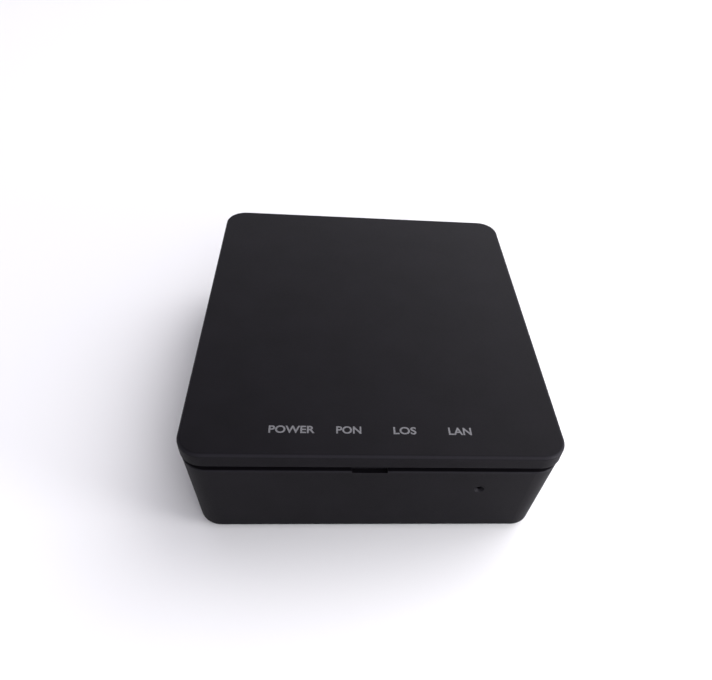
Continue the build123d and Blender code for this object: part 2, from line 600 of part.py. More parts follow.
def receptacle_barrel():
    """The steel barrel that carries the split sleeve and the fibre stub."""
    barrel = rod_y(PORT_X, PORT_Z, BARREL_R, (BARREL_END_Y, BARREL_TIP_Y))
    barrel = chamfer(barrel.edges().group_by(Axis.Y)[-1], 0.3)
    bore_y = (SLEEVE_Y[0] - 0.15, SLEEVE_Y[1] + 0.05)
    barrel -= rod_y(PORT_X, PORT_Z, SLEEVE_R + 0.04, bore_y)
    barrel -= rod_y(PORT_X, PORT_Z, SLEEVE_BORE_R + 0.2, (bore_y[1] - 0.1, BARREL_TIP_Y + 0.1))
    return barrel - rod_y(PORT_X, PORT_Z, STUB_R + 0.02, (bore_y[0] - 7.0, bore_y[0] + 0.1))


def split_sleeve():
    """The ceramic split sleeve that lines up the plug's 2.5 mm ferrule."""
    through = (SLEEVE_Y[0] - 0.1, SLEEVE_Y[1] + 0.1)
    sleeve = rod_y(PORT_X, PORT_Z, SLEEVE_R, SLEEVE_Y) - rod_y(PORT_X, PORT_Z, SLEEVE_BORE_R, through)
    return sleeve - block(around(PORT_X, SLEEVE_SLIT), through, (PORT_Z - SLEEVE_R - 0.1, PORT_Z))


def fibre_stub():
    stub_end = SLEEVE_Y[0] - 0.1
    return rod_y(PORT_X, PORT_Z, STUB_R, (stub_end - STUB_L, stub_end))


def transceiver_head():
    """The steel block behind the receptacle that joins the barrel, the laser and the receiver."""
    head = block(around(PORT_X, HEAD_W), HEAD_Y, around(PORT_Z, HEAD_W))
    return chamfer(head.edges().filter_by(Axis.Y), 0.8)


def laser_can():
    """The laser's round header on the head's end."""
    flange = rod_y(PORT_X, PORT_Z, LASER_FLANGE_R, (HEAD_Y[0] - 1.2, HEAD_Y[0]))
    return flange + rod_y(PORT_X, PORT_Z, LASER_CAN_R, (HEAD_Y[0] - 1.6, HEAD_Y[0] - 1.2))


def receiver_can():
    """The receiver's round can on the head's side."""
    face_x = PORT_X - HEAD_W / 2
    y = sum(HEAD_Y) / 2
    can = rod_x(y, PORT_Z, RECEIVER_CAN_R, (face_x - 2.6, face_x))
    return can + rod_x(y, PORT_Z, RECEIVER_FLANGE_R, (face_x - 3.6, face_x - 2.6))


def transceiver_leads():
    """Straight wire leads from both cans, each with a short drop to the board."""
    leads = []
    z = PORT_Z - 0.6
    drop = (BOARD_TOP, z + WIRE_R)
    for n in (-1, 0, 1):
        x = PORT_X + n * WIRE_PITCH
        y = (HEAD_Y[0] - 3.4, HEAD_Y[0] - 1.6)
        leads.append(rod_y(x, z, WIRE_R, y) + rod_z(x, y[0], WIRE_R, drop))
    for n in (-1, 1):
        y = sum(HEAD_Y) / 2 + n * WIRE_PITCH
        x = (PORT_X - 8.4, PORT_X - 6.8)
        leads.append(rod_x(y, z, WIRE_R, x) + rod_z(x[0], y, WIRE_R, drop))
    return group(leads)


def port_shutter():
    """The sprung flap that covers the optical socket; it swings out and up about its hinge pin."""
    plate_y = (SHUTTER_AXIS_Y - SHUTTER_T, SHUTTER_AXIS_Y)
    plate = block(around(PORT_X, SHUTTER_W), plate_y, (SHUTTER_LOW_Z, SHUTTER_AXIS_Z))
    plate = fillet(plate.edges().filter_by(Axis.Y).sort_by(Axis.Z)[:2], 1.2)
    lip_y = (SHUTTER_AXIS_Y - 0.1, SHUTTER_AXIS_Y + LIP_OUT)
    lip = block(around(PORT_X, LIP_W), lip_y, (SHUTTER_LOW_Z + 0.3, SHUTTER_LOW_Z + 1.2))
    knuckle_x = [PORT_X + end for end in KNUCKLE_ENDS]
    knuckle = rod_x(SHUTTER_AXIS_Y, SHUTTER_AXIS_Z, KNUCKLE_R, knuckle_x)
    bore = rod_x(SHUTTER_AXIS_Y, SHUTTER_AXIS_Z, KNUCKLE_BORE_R, (PORT_X - SHUTTER_W, PORT_X + SHUTTER_W))
    spring_z = (SHUTTER_AXIS_Z - 1.3, SHUTTER_AXIS_Z + 1.5)
    spring_room = block((knuckle_x[1], PORT_X + SHUTTER_W), (PANEL_Y, BODY_D), spring_z)
    return plate + lip + knuckle - spring_room - bore


def hinge_pin():
    return rod_x(SHUTTER_AXIS_Y, SHUTTER_AXIS_Z, HINGE_PIN_R, (PORT_X - EAR_OUT, PORT_X + EAR_OUT))


def shutter_spring():
    """A torsion spring round the hinge pin, between the knuckle and the ear."""
    coil = Helix(SPRING_PITCH, SPRING_TURNS * SPRING_PITCH, SPRING_COIL_R)
    wire = sweep(Plane(coil @ 0, z_dir=coil % 0) * Circle(SPRING_WIRE_R), path=coil)
    return Pos(PORT_X + KNUCKLE_ENDS[1] + 0.3, SHUTTER_AXIS_Y, SHUTTER_AXIS_Z) * Rot(0, 90, 0) * wire


# ---- LAN jack -------------------------------------------------------------------------------------------
def lan_jack_housing():
    t = LAN_SHIELD_T
    body = block(around(LAN_X, LAN_W - 2 * t), (LAN_Y[0] + t, LAN_Y[1] - t), (LAN_Z[0], LAN_Z[1] - t))
    cavity_y = (NOSE_Y - LAN_CAVITY_L, NOSE_Y + 0.1)
    body -= block(around(LAN_X, LAN_CAVITY_W), cavity_y, (LAN_CAVITY_LOW_Z, LAN_CAVITY_HIGH_Z))
    body -= block(around(LAN_X, LAN_LATCH_W), cavity_y, (LAN_CAVITY_LOW_Z - 1.6, LAN_CAVITY_LOW_Z + 0.1))
    return body - block(around(LAN_X, LAN_LATCH_NECK_W), cavity_y, (LAN_CAVITY_LOW_Z - 2.6, LAN_CAVITY_LOW_Z))


def lan_jack_shield():
    """The plated steel shell, with a spring finger punched in each side."""
    t = LAN_SHIELD_T
    shell = soft_block(around(LAN_X, LAN_W), LAN_Y, LAN_Z, Axis.Y, 0.3)
    shell -= block(around(LAN_X, LAN_W - 2 * t), (LAN_Y[0] + t, LAN_Y[1] - t), (LAN_Z[0] - 0.1, LAN_Z[1] - t))
    window_z = (LAN_CAVITY_LOW_Z - 3.0, LAN_CAVITY_HIGH_Z + 0.5)
    shell -= block(around(LAN_X, LAN_CAVITY_W + 0.8), around(NOSE_Y, 2.0), window_z)
    slit = 0.5
    for side in (-1, 1):
        x = around(LAN_X + side * LAN_W / 2, 1.0)
        cut = block(x, LAN_FINGER_Y, LAN_FINGER_Z)
        finger_y = (LAN_FINGER_Y[0] - 0.1, LAN_FINGER_Y[1] - slit)
        shell -= cut - block(x, finger_y, (LAN_FINGER_Z[0] + slit, LAN_FINGER_Z[1] - slit))
    return shell


def lan_jack_contacts():
    """Eight sprung gold wires that slope down from the front of the socket's roof."""
    run = LAN_CONTACT_L * math.cos(math.radians(LAN_CONTACT_TILT))
    drop = LAN_CONTACT_L * math.sin(math.radians(LAN_CONTACT_TILT))

    def wire(n):
        x = LAN_X + (n - (LAN_CONTACTS - 1) / 2) * LAN_CONTACT_PITCH
        middle = (x, NOSE_Y - 3.2 - run / 2, LAN_CAVITY_HIGH_Z - 0.25 - drop / 2)
        return Pos(*middle) * Rot(LAN_CONTACT_TILT, 0, 0) * Box(0.45, LAN_CONTACT_L, 0.3)

    return group(wire(n) for n in range(LAN_CONTACTS))


# ---- DC jack --------------------------------------------------------------------------------------------
def dc_jack_housing():
    body = block(around(DC_X, DC_W), DC_Y, (BOARD_TOP, BOARD_TOP + DC_H))
    body = fillet(body.edges().filter_by(Axis.Y).sort_by(Axis.Z)[-2:], 2.0)
    body -= rod_y(DC_X, DC_Z, DC_BARREL_R, (DC_FACE_Y - DC_BARREL_L, DC_FACE_Y + 0.1))
    slot_z = (DC_Z - DC_BARREL_R - 0.6, DC_Z)
    return body - block(around(DC_X, 2.8), (DC_FACE_Y - 9.0, DC_FACE_Y - 1.0), slot_z)


def dc_jack_pin():
    """The centre contact, 2.0 mm across, for a 5.5 by 2.1 mm plug."""
    root = DC_FACE_Y - DC_BARREL_L
    pin = rod_y(DC_X, DC_Z, DC_PIN_R, (root, root + DC_PIN_L))
    return fillet(pin.edges().group_by(Axis.Y)[-1], 0.6)


def dc_jack_spring():
    """The leaf contact that presses on the plug's outer sleeve."""
    z = DC_Z - DC_BARREL_R - 0.4
    return block(around(DC_X, DC_SPRING_W), (DC_FACE_Y - 8.8, DC_FACE_Y - 1.2), (z, z + DC_SPRING_T))


# ---- power switch ---------------------------------------------------------------------------------------
def power_switch_body():
    body = block(around(SWITCH_X, SWITCH_W), SWITCH_Y, (BOARD_TOP, BOARD_TOP + SWITCH_H))
    body = chamfer(body.faces().sort_by(Axis.Z)[-1].edges(), 0.3)
    bore_w, bore_y = STEM_W + 2 * GAP, (SWITCH_Y[0] + 2.0, SWITCH_Y[1] + 0.1)
    return body - block(around(SWITCH_X, bore_w), bore_y, around(SWITCH_Z, bore_w))


def power_switch_stem():
    stem_y = (SWITCH_Y[0] + 5.5, BUTTON_Y[0] + SOCKET_L)
    return block(around(SWITCH_X, STEM_W), stem_y, around(SWITCH_Z, STEM_W))


def power_button():
    """The round push-push key cap; its socket grips the switch's square stem."""
    cap = rod_y(SWITCH_X, SWITCH_Z, BUTTON_R, BUTTON_Y)
    cap = fillet(cap.edges().group_by(Axis.Y)[-1], 0.5)
    socket_y = (BUTTON_Y[0] - 0.1, BUTTON_Y[0] + SOCKET_L)
    return cap - block(around(SWITCH_X, STEM_W), socket_y, around(SWITCH_Z, STEM_W))


# ---- reset ----------------------------------------------------------------------------------------------
def reset_plunger():
    """The rod behind the pinhole; its leg carries a push down to the small switch on the board."""
    head = rod_y(RESET_X, RESET_Z, PLUNGER_HEAD_R, (GUIDE_Y[0] - 2.1, GUIDE_Y[0] - 0.9))
    rod = rod_y(RESET_X, RESET_Z, PLUNGER_R, (GUIDE_Y[0] - 1.0, LEG_Y[1]))
    leg = soft_block(around(RESET_X, LEG_W), LEG_Y, (TACT_Z - 1.2, RESET_Z + 1.6), Axis.Y, 0.4)
    return head + rod + leg


def reset_guide():
    """The upright bracket on the board that the plunger slides in."""
    plate = soft_block(around(RESET_X, GUIDE_W), GUIDE_Y, (BOARD_TOP, RESET_Z + 2.4), Axis.Y, 0.8)
    foot = block(around(RESET_X, GUIDE_W), (GUIDE_Y[0], GUIDE_Y[1] + 1.4), (BOARD_TOP, BOARD_TOP + 1.0))
    return plate + foot - rod_y(RESET_X, RESET_Z, PLUNGER_R + 0.05, (GUIDE_Y[0] - 0.1, GUIDE_Y[1] + 0.1))


def reset_switch_body():
    body = block(around(RESET_X, TACT_W), TACT_Y, (BOARD_TOP, BOARD_TOP + TACT_H))
    return body - rod_y(RESET_X, TACT_Z, TACT_STEM_R + 0.05, (TACT_Y[0] - 0.1, TACT_Y[0] + 1.6))


def reset_switch_stem():
    return rod_y(RESET_X, TACT_Z, TACT_STEM_R, (TACT_Y[0] - TACT_STEM_OUT, TACT_Y[0] + 1.2))


# ---- every node -----------------------------------------------------------------------------------------
def chip_nodes():
    """Each moulded chip, and its leads as a node of their own."""
    nodes = {}
    for name, sizes in LEADED_CHIPS.items():
        body, leads = leaded_chip(*sizes)
        nodes[name] = body
        nodes[name + "_leads"] = group(leads)
    return nodes


MAKERS = [
    base_tray,
    top_cover,
    case_screws,
    board_screws,
    rubber_feet,
    rating_label,
    main_board,
    soc_chip,
    thermal_pad,
    heat_sink,
    memory_chip,
    laser_driver_chip,
    rf_shield_can,
    crystal_can,
    bulk_capacitors,
    capacitor_bases,
    power_inductors,
    chip_passives,
    service_header,
    service_header_pins,
    indicator_leds,
    light_pipe,
    optical_receptacle,
    receptacle_barrel,
    split_sleeve,
    fibre_stub,
    transceiver_head,
    laser_can,
    receiver_can,
    transceiver_leads,
    port_shutter,
    hinge_pin,
    shutter_spring,
    lan_jack_housing,
    lan_jack_shield,
    lan_jack_contacts,
    dc_jack_housing,
    dc_jack_pin,
    dc_jack_spring,
    power_switch_body,
    power_switch_stem,
    power_button,
    reset_plunger,
    reset_guide,
    reset_switch_body,
    reset_switch_stem,
]

NODES = {make.__name__: make() for make in MAKERS} | chip_nodes()

os.makedirs("parts", exist_ok=True)
for name, shape in NODES.items():
    export_step(shape, f"parts/{name}.step")
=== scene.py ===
import json
import math

import bpy
import bmesh
from mathutils import Matrix, Vector


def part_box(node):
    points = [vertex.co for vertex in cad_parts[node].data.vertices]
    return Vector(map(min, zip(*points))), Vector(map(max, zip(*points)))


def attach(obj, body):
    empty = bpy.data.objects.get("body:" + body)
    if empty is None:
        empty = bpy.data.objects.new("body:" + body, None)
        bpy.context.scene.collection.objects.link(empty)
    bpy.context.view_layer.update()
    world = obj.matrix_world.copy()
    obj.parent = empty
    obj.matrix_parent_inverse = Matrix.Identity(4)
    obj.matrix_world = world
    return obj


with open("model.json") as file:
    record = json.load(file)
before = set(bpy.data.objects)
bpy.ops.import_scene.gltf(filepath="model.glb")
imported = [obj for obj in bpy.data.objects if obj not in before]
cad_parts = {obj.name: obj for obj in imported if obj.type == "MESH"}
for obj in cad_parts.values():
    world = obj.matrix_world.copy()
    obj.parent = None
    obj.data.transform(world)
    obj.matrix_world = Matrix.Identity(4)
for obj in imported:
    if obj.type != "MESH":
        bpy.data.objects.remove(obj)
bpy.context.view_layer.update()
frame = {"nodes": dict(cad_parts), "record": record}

MM = 0.001
HOUSING = "housing"

# ---- places and sizes, in millimetres unless said otherwise ---------------------------------------------
# The camera looks down on the front edge from close by, turned a little to the right and rolled.
CAMERA_PLACE = (-9.92, -119.74, 122.56)
CAMERA_YAW, CAMERA_PITCH, CAMERA_ROLL = 7.864, 48.799, 6.678  # degrees
CAMERA_LENS, CAMERA_SENSOR = 29.42, 36.0
CAMERA_SHIFT = (-0.0362, 0.1209)
CAMERA_NEAR = 5.0

TOP_WORDS = ("POWER", "PON", "LOS", "LAN")
TOP_WORD_WIDTHS = (9.6, 5.3, 4.9, 5.0)
TOP_WORD_PITCH = 11.93
TOP_WORD_FIRST_X = -17.7
TOP_WORD_Y = -39.82
TOP_WORD_HEIGHT = 2.05
BOLD = 0.022  # how far each stroke is thickened, in heights of the font
INK_THICK = 0.012

# Words on the rear panel, each under the middle of its socket or key.
REAR_WORDS = {
    "optical_receptacle": "PON",
    "lan_jack_shield": "LAN",
    "dc_jack_pin": "12V",
    "power_button": "ON/OFF",
}
REAR_WORD_HEIGHT = 1.2
REAR_WORD_Z = 6.0
NOSE_SUNK = 0.4  # how far the sockets' noses are sunk behind the rear panel's face

LABEL_MARGIN = 1.2  # the printed frame on the blank label
LABEL_LINE = 0.25
LABEL_ROWS = 4
SILK_LINE = 0.15  # the printed outlines on the board
SILK_GAP = 0.45
CAP_END = 0.35  # the tinned ends of the small passives
CAP_SKIN = 0.02  # how far the tin stands proud of the chip
SOLDER_R, SOLDER_H = 0.75, 0.6
SOLDER_TIP = 0.25  # the cone's tip, as a share of its radius
LEAD_IN = 0.25  # from the corner of a lead's box to its middle
SPRING_LEG_R = 0.13
SPRING_LEG_BEND, SPRING_LEG_DROP = 0.2, 2.8


def mm(*values):
    """These lengths in millimetres as a vector in metres."""
    return Vector(values) * MM


def middle(node):
    """The middle of a CAD node's box, in metres."""
    low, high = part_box(node)
    return (low + high) / 2


def corners(points):
    """The low and high corners of the box round these points."""
    low = Vector([min(p[i] for p in points) for i in range(3)])
    high = Vector([max(p[i] for p in points) for i in range(3)])
    return low, high


# ---- light and floor; these places and sizes are in metres ----------------------------------------------
LAMP_TARGET = (0.0, 0.0, 0.015)
LAMPS = (  # name, place, size, watts, colour
    ("key", (0.45, 0.35, 0.75), 0.8, 3.6, (1.0, 0.99, 0.98)),
    ("side", (0.24, -0.12, 0.07), 0.10, 0.55, (1.0, 1.0, 1.0)),
    ("front", (0.30, -0.76, 0.62), 0.42, 1.2, (1.0, 1.0, 1.0)),
)
WORLD_COLOUR = (0.94, 0.92, 1.0)
WORLD_GLOW = 0.24
WORLD_RAMPS = (  # axis of the direction, where the ramp starts, where it ends, strength
    ("X", -0.15, 0.5, 1.45),
    ("Y", 0.3, 0.9, 0.85),
    ("Z", 0.30, 0.0, 0.35),
)
FLOOR_HALF = 6.0
FLOOR_COLOURS = ((0.86, 0.86, 0.86), (0.87, 0.87, 0.872))
FLOOR_PATCH = 400.0  # millimetres


# ---- material helpers -----------------------------------------------------------------------------------
MIX_AMOUNT, MIX_A, MIX_B, MIX_RESULT = 0, 6, 7, 2  # the Mix node's sockets for colours
EDGE_FLAT, EDGE_SHARP = 0.995, 0.90  # cosines between the true and the rounded normal
EDGE_SAMPLES = 6
GRAIN_SMOOTHNESS = 0.6
MIDDLE = (0.3, 0.7)  # the range that most noise values fall in

# Moulded plastic: drift in tone, and how much the edges are lightened (partly handling wear, partly a
# painted highlight) and smoothed.
DRIFT_PATCH, DRIFT_DARK, DRIFT_LIGHT = 9.0, 0.86, 1.12
WEAR_AND_SHEEN_RADIUS, WEAR_AND_SHEEN_LIGHT, WORN_SMOOTH = 0.35, 1.5, 0.12
# Metal: cloudy reflections, and how much brighter the edges are.
CLOUD_PATCH, CLOUD_DARK = 2.5, 0.84
RUBBED_RADIUS, RUBBED_LIGHT, RUBBED_COVER = 0.2, 1.15, 0.5
# The board's copper tracks.
TRACK_PITCH, TRACK_WIDTH, TRACK_STAGGER, TRACK_PATCH, TRACK_HEIGHT = 3.2, 0.045, 0.37, 6.0, 0.03


class Finish:
    """A node material under construction.

    The plain colour and roughness stand until a node is linked over them, and stay as the fallback for a
    viewer that doesn't run the nodes. Sizes are in millimetres.
    """

    def __init__(self, name, colour, roughness, **sockets):
        self.material = bpy.data.materials.new(name)
        self.material.use_nodes = True
        self.tree = self.material.node_tree
        self.shader = self.tree.nodes["Principled BSDF"]
        self.set("Base Color", colour)
        self.set("Roughness", roughness)
        for socket, value in sockets.items():
            self.set(socket.replace("_", " "), value)
        self.place = self.node("ShaderNodeTexCoord").outputs["Object"]

    def set(self, socket, value):
        """Gives one of the shader's sockets a number, a colour or another node's output."""
        target = self.shader.inputs[socket]
        if isinstance(value, bpy.types.NodeSocket):
            self.tree.links.new(value, target)
        elif hasattr(value, "__len__"):
            target.default_value = (*value, 1.0)[:4]
        else:
            target.default_value = value

    def node(self, kind, inputs=(), **settings):
        """Adds a node with these settings, and with a value or a link on each input."""
        made = self.tree.nodes.new(kind)
        for key, value in settings.items():
            setattr(made, key, value)
        for key, value in dict(inputs).items():
            if isinstance(value, bpy.types.NodeSocket):
                self.tree.links.new(value, made.inputs[key])
            else:
                made.inputs[key].default_value = value
        return made

    def noise(self, size, detail=3.0, roughness=0.55, stretch=None):
        """Soft noise whose features are about this many millimetres across."""
        place = self.place
        if stretch:
            place = self.node("ShaderNodeMapping", {"Vector": place, "Scale": stretch}).outputs["Vector"]
        inputs = {"Vector": place, "Scale": 1 / (size * MM), "Detail": detail, "Roughness": roughness}
        return self.node("ShaderNodeTexNoise", inputs).outputs["Fac"]

    def grains(self, size):
        """Rounded grains about this many millimetres across, as a height from 0 to about 1."""
        inputs = {"Vector": self.place, "Scale": 1 / (size * MM)}
        made = self.node("ShaderNodeTexVoronoi", inputs, feature="SMOOTH_F1")
        made.inputs["Smoothness"].default_value = GRAIN_SMOOTHNESS
        return made.outputs["Distance"]

    def span(self, value, low, high, to_low=0.0, to_high=1.0):
        """A value mapped from one range to another and held inside it."""
        inputs = {"Value": value, "From Min": low, "From Max": high, "To Min": to_low, "To Max": to_high}
        return self.node("ShaderNodeMapRange", inputs).outputs["Result"]

    def blend(self, amount, colour_a, colour_b):
        """Colour a where the amount is 0 and colour b where it is 1."""
        made = self.node("ShaderNodeMix", {MIX_AMOUNT: amount}, data_type="RGBA")
        for index, value in ((MIX_A, colour_a), (MIX_B, colour_b)):
            if isinstance(value, bpy.types.NodeSocket):
                self.tree.links.new(value, made.inputs[index])
            else:
                made.inputs[index].default_value = (*value, 1.0)
        return made.outputs[MIX_RESULT]

    def maths(self, operation, a, b=0.0):
        """Two values put through one operation."""
        return self.node("ShaderNodeMath", {0: a, 1: b}, operation=operation).outputs["Value"]

    def edges(self, radius):
        """0 on flat stretches, rising to 1 on edges sharper than about this radius in millimetres."""
        bevel = self.node("ShaderNodeBevel", {"Radius": radius * MM}, samples=EDGE_SAMPLES)
        true = self.node("ShaderNodeNewGeometry").outputs["Normal"]
        pair = {0: bevel.outputs["Normal"], 1: true}
        alike = self.node("ShaderNodeVectorMath", pair, operation="DOT_PRODUCT")
        return self.span(alike.outputs["Value"], EDGE_FLAT, EDGE_SHARP)

    def bump(self, height, depth, strength=1.0):
        """Raises the surface by up to this many millimetres where height is 1."""
        below = self.shader.inputs["Normal"]
        made = self.node("ShaderNodeBump", {"Height": height, "Distance": depth * MM, "Strength": strength})
        if below.links:
            self.tree.links.new(below.links[0].from_socket, made.inputs["Normal"])
        self.set("Normal", made.outputs["Normal"])


def moulded(name, colour, roughness, grain=0.28, depth=0.006, specular=0.5, wear_and_sheen=0.35, polish_and_sheen=0.002):
    """A moulded plastic with fine grain, a slight drift in tone, and edges that are lighter and smoother:
    in part polished by handling, in part a painted highlight.
    """
    f = Finish(name, colour, roughness, Specular_IOR_Level=specular)
    drift = f.noise(DRIFT_PATCH, detail=2.0)
    fine = f.noise(grain, detail=4.0, roughness=0.7)
    edge = f.edges(WEAR_AND_SHEEN_RADIUS)
    worn_and_sheen = [min(1.0, c * WEAR_AND_SHEEN_LIGHT + polish_and_sheen) for c in colour]
    dark, light = ([c * share for c in colour] for share in (DRIFT_DARK, DRIFT_LIGHT))
    tone = f.blend(f.span(drift, *MIDDLE), dark, light)
    # Lighter colour on the edges: handling wear together with a painted highlight.
    f.set("Base Color", f.blend(f.maths("MULTIPLY", edge, wear_and_sheen), tone, worn_and_sheen))
    rough = f.span(fine, 0.25, 0.75, roughness - 0.05, roughness + 0.07)
    rough = f.maths("SUBTRACT", rough, f.maths("MULTIPLY", edge, WORN_SMOOTH))
    f.set("Roughness", rough)
    f.bump(f.grains(grain), depth)
    f.bump(f.noise(grain * 0.5, detail=2.0), depth * 0.5)
    return f


# Moulded finishes: colour, roughness, then whatever differs from moulded()'s own values.
MOULDED = {
    "button_plastic": ((0.0085, 0.0083, 0.0095), 0.42, dict(grain=0.5, depth=0.003, specular=0.2)),
    "shutter_plastic": ((0.0080, 0.0078, 0.0090), 0.45, dict(grain=0.4, depth=0.004, specular=0.2)),
    "port_green": ((0.012, 0.21, 0.085), 0.38, dict(grain=0.6, depth=0.002)),
    "jack_black": ((0.009, 0.009, 0.010), 0.36, dict(grain=0.5, depth=0.003, specular=0.3)),
    "switch_white": ((0.62, 0.60, 0.54), 0.32, dict(grain=0.7, depth=0.002)),
    "chip_epoxy": ((0.018, 0.018, 0.019), 0.55, dict(grain=0.15, depth=0.004)),
    "ferrite": ((0.05, 0.05, 0.052), 0.62, dict(grain=0.22, depth=0.012)),
    "foot_rubber": ((0.013, 0.013, 0.013), 0.78, dict(grain=0.35, depth=0.012, specular=0.3, wear_and_sheen=0.6)),
    "pad_silicone": ((0.30, 0.33, 0.38), 0.7, dict(grain=0.4, depth=0.010)),
}

CASING_COLOUR, CASING_ROUGHNESS = (0.0050, 0.0044, 0.0060), 0.56
# A painted highlight on the casing's top edge fillets: a lighter colour, laid where the normal leans
# between wall and roof.
RIM_HIGHLIGHT_COLOUR, RIM_HIGHLIGHT_COVER = (0.019, 0.018, 0.022), 0.7
RIM_HIGHLIGHT_LEANS = ((0.12, 0.5), (0.985, 0.85))  # upward share of the normal: from wall to rim, from roof to rim


def casing_plastic():
    """The casing's fine matt black, with a painted highlight: its rounded top edges get a lighter colour
    where the normal leans between wall and roof.
    """
    # The edge lightening is raised here so that the casing's edges and the seam's lips carry painted
    # highlight lines.
    f = moulded(
        "casing_plastic", CASING_COLOUR, CASING_ROUGHNESS, grain=0.30, depth=0.008,
        specular=0.078, wear_and_sheen=0.8, polish_and_sheen=0.006,
    )
    facing = f.node("ShaderNodeTexCoord").outputs["Normal"]
    up = f.node("ShaderNodeSeparateXYZ", {0: facing}).outputs["Z"]
    # Painted highlight: the mask of the fillets between wall and roof.
    rounded = f.maths("MULTIPLY", *(f.span(up, *lean) for lean in RIM_HIGHLIGHT_LEANS))
    plain = f.shader.inputs["Base Color"].links[0].from_socket
    f.set("Base Color", f.blend(f.maths("MULTIPLY", rounded, RIM_HIGHLIGHT_COVER), plain, RIM_HIGHLIGHT_COLOUR))
    return f.material


def printed_ink():
    """Pad-printed light grey ink: slightly uneven cover, so that the black below darkens it in places."""
    thin, full = (0.088, 0.088, 0.094), (0.142, 0.142, 0.151)
    f = Finish("printed_ink", full, 0.55)
    cover = f.span(f.noise(0.35, detail=4.0), 0.35, 0.6)
    f.set("Base Color", f.blend(cover, thin, full))
    f.bump(f.noise(0.12, detail=2.0), 0.002)
    return f.material


def metal(name, colour, roughness, grain=0.5, stretch=None, depth=0.001):
    """A bare or plated metal: fine drawn or rolled lines, cloudy reflections and a brighter edge."""
    f = Finish(name, colour, roughness, Metallic=1.0)
    cloud = f.noise(CLOUD_PATCH)
    lines = f.noise(grain, stretch=stretch)
    edge = f.edges(RUBBED_RADIUS)
    tone = f.blend(f.span(cloud, 0.35, 0.65), [c * CLOUD_DARK for c in colour], colour)
    rubbed = [min(1.0, c * RUBBED_LIGHT) for c in colour]
    f.set("Base Color", f.blend(f.maths("MULTIPLY", edge, RUBBED_COVER), tone, rubbed))
    f.set("Roughness", f.span(lines, *MIDDLE, roughness - 0.06, roughness + 0.10))
    f.bump(lines, depth)
    return f.material


# Metals: colour, roughness, then the size of the drawn lines and how they are stretched along each axis.
METALS = {
    "screw_zinc": ((0.20, 0.20, 0.21), 0.38, dict(grain=0.3)),
    "board_screw_zinc": ((0.62, 0.62, 0.63), 0.30, dict(grain=0.3)),
    "tinned_lead": ((0.68, 0.68, 0.69), 0.32, dict(grain=0.25)),
    "heat_sink_alloy": ((0.46, 0.47, 0.49), 0.42, dict(grain=0.3, stretch=(1.0, 0.05, 1.0))),
    "tinplate": ((0.40, 0.40, 0.41), 0.34, dict(grain=0.25, stretch=(1.0, 0.08, 1.0))),
    "capacitor_can": ((0.74, 0.74, 0.75), 0.28, dict(grain=0.2, stretch=(1.0, 1.0, 0.1))),
    "stainless_steel": ((0.56, 0.56, 0.57), 0.28, dict(grain=0.15, stretch=(0.1, 1.0, 1.0))),
    "spring_wire": ((0.58, 0.58, 0.59), 0.25, dict(grain=0.2)),
    "gold_contact": ((0.83, 0.58, 0.22), 0.22, dict(grain=0.2)),
}


def label_film():
    """Matt polyester label film with a very faint paper-like tooth."""
    f = Finish("label_film", (0.62, 0.63, 0.64), 0.5)
    f.set("Base Color", f.blend(f.span(f.noise(3.0), *MIDDLE), (0.60, 0.61, 0.62), (0.66, 0.67, 0.68)))
    f.bump(f.noise(0.2, detail=4.0), 0.003)
    return f.material


def board_laminate():
    """Green solder resist: copper tracks show through it as lighter, slightly raised lines."""
    f = Finish("board_laminate", (0.01, 0.075, 0.035), 0.28, Coat_Weight=0.4, Coat_Roughness=0.15)
    layout = {"Vector": f.place, "Scale": 1 / (TRACK_PITCH * MM), "Mortar Size": TRACK_WIDTH}
    tracks = f.node("ShaderNodeTexBrick", layout, offset=TRACK_STAGGER)
    for socket, shade in (("Color1", 0.0), ("Color2", 0.0), ("Mortar", 1.0)):
        tracks.inputs[socket].default_value = (shade, shade, shade, 1.0)
    patches = f.span(f.noise(TRACK_PATCH, detail=0.0), 0.45, 0.5)
    copper = f.maths("MULTIPLY", tracks.outputs["Color"], patches)
    f.set("Base Color", f.blend(copper, (0.008, 0.062, 0.028), (0.02, 0.14, 0.06)))
    f.bump(copper, TRACK_HEIGHT)
    f.bump(f.noise(0.4), 0.004)
    return f.material


def ceramic_chip():
    """Tiny resistors and capacitors: a fired ceramic middle with tinned ends."""
    f = Finish("ceramic_chip", (0.30, 0.20, 0.12), 0.5)
    mottle = f.span(f.noise(0.3), 0.35, 0.65)
    f.set("Base Color", f.blend(mottle, (0.20, 0.14, 0.09), (0.36, 0.25, 0.15)))
    f.bump(f.noise(0.12), 0.004)
    return f.material


def led_package():
    """The indicators' pale, slightly milky package."""
    f = Finish("led_package", (0.80, 0.79, 0.70), 0.25, Subsurface_Weight=0.15)
    f.set("Base Color", f.blend(f.span(f.noise(0.5), *MIDDLE), (0.74, 0.73, 0.62), (0.84, 0.83, 0.76)))
    f.bump(f.noise(0.2), 0.002)
    return f.material


def light_pipe_clear():
    """Clear acrylic with a softly uneven surface."""
    f = Finish("light_pipe_clear", (0.93, 0.95, 0.96), 0.06, Transmission_Weight=0.92, IOR=1.49)
    f.set("Roughness", f.span(f.noise(1.0), *MIDDLE, 0.03, 0.12))
    f.bump(f.noise(2.5, detail=1.0), 0.004)
    return f.material


def zirconia():
    """Polished off-white ceramic."""
    f = Finish("zirconia", (0.86, 0.85, 0.81), 0.14, Coat_Weight=0.3)
    f.set("Roughness", f.span(f.noise(0.4), *MIDDLE, 0.10, 0.20))
    f.set("Base Color", f.blend(f.span(f.noise(1.2), *MIDDLE), (0.82, 0.81, 0.76), (0.88, 0.87, 0.84)))
    f.bump(f.noise(0.1), 0.0005)
    return f.material


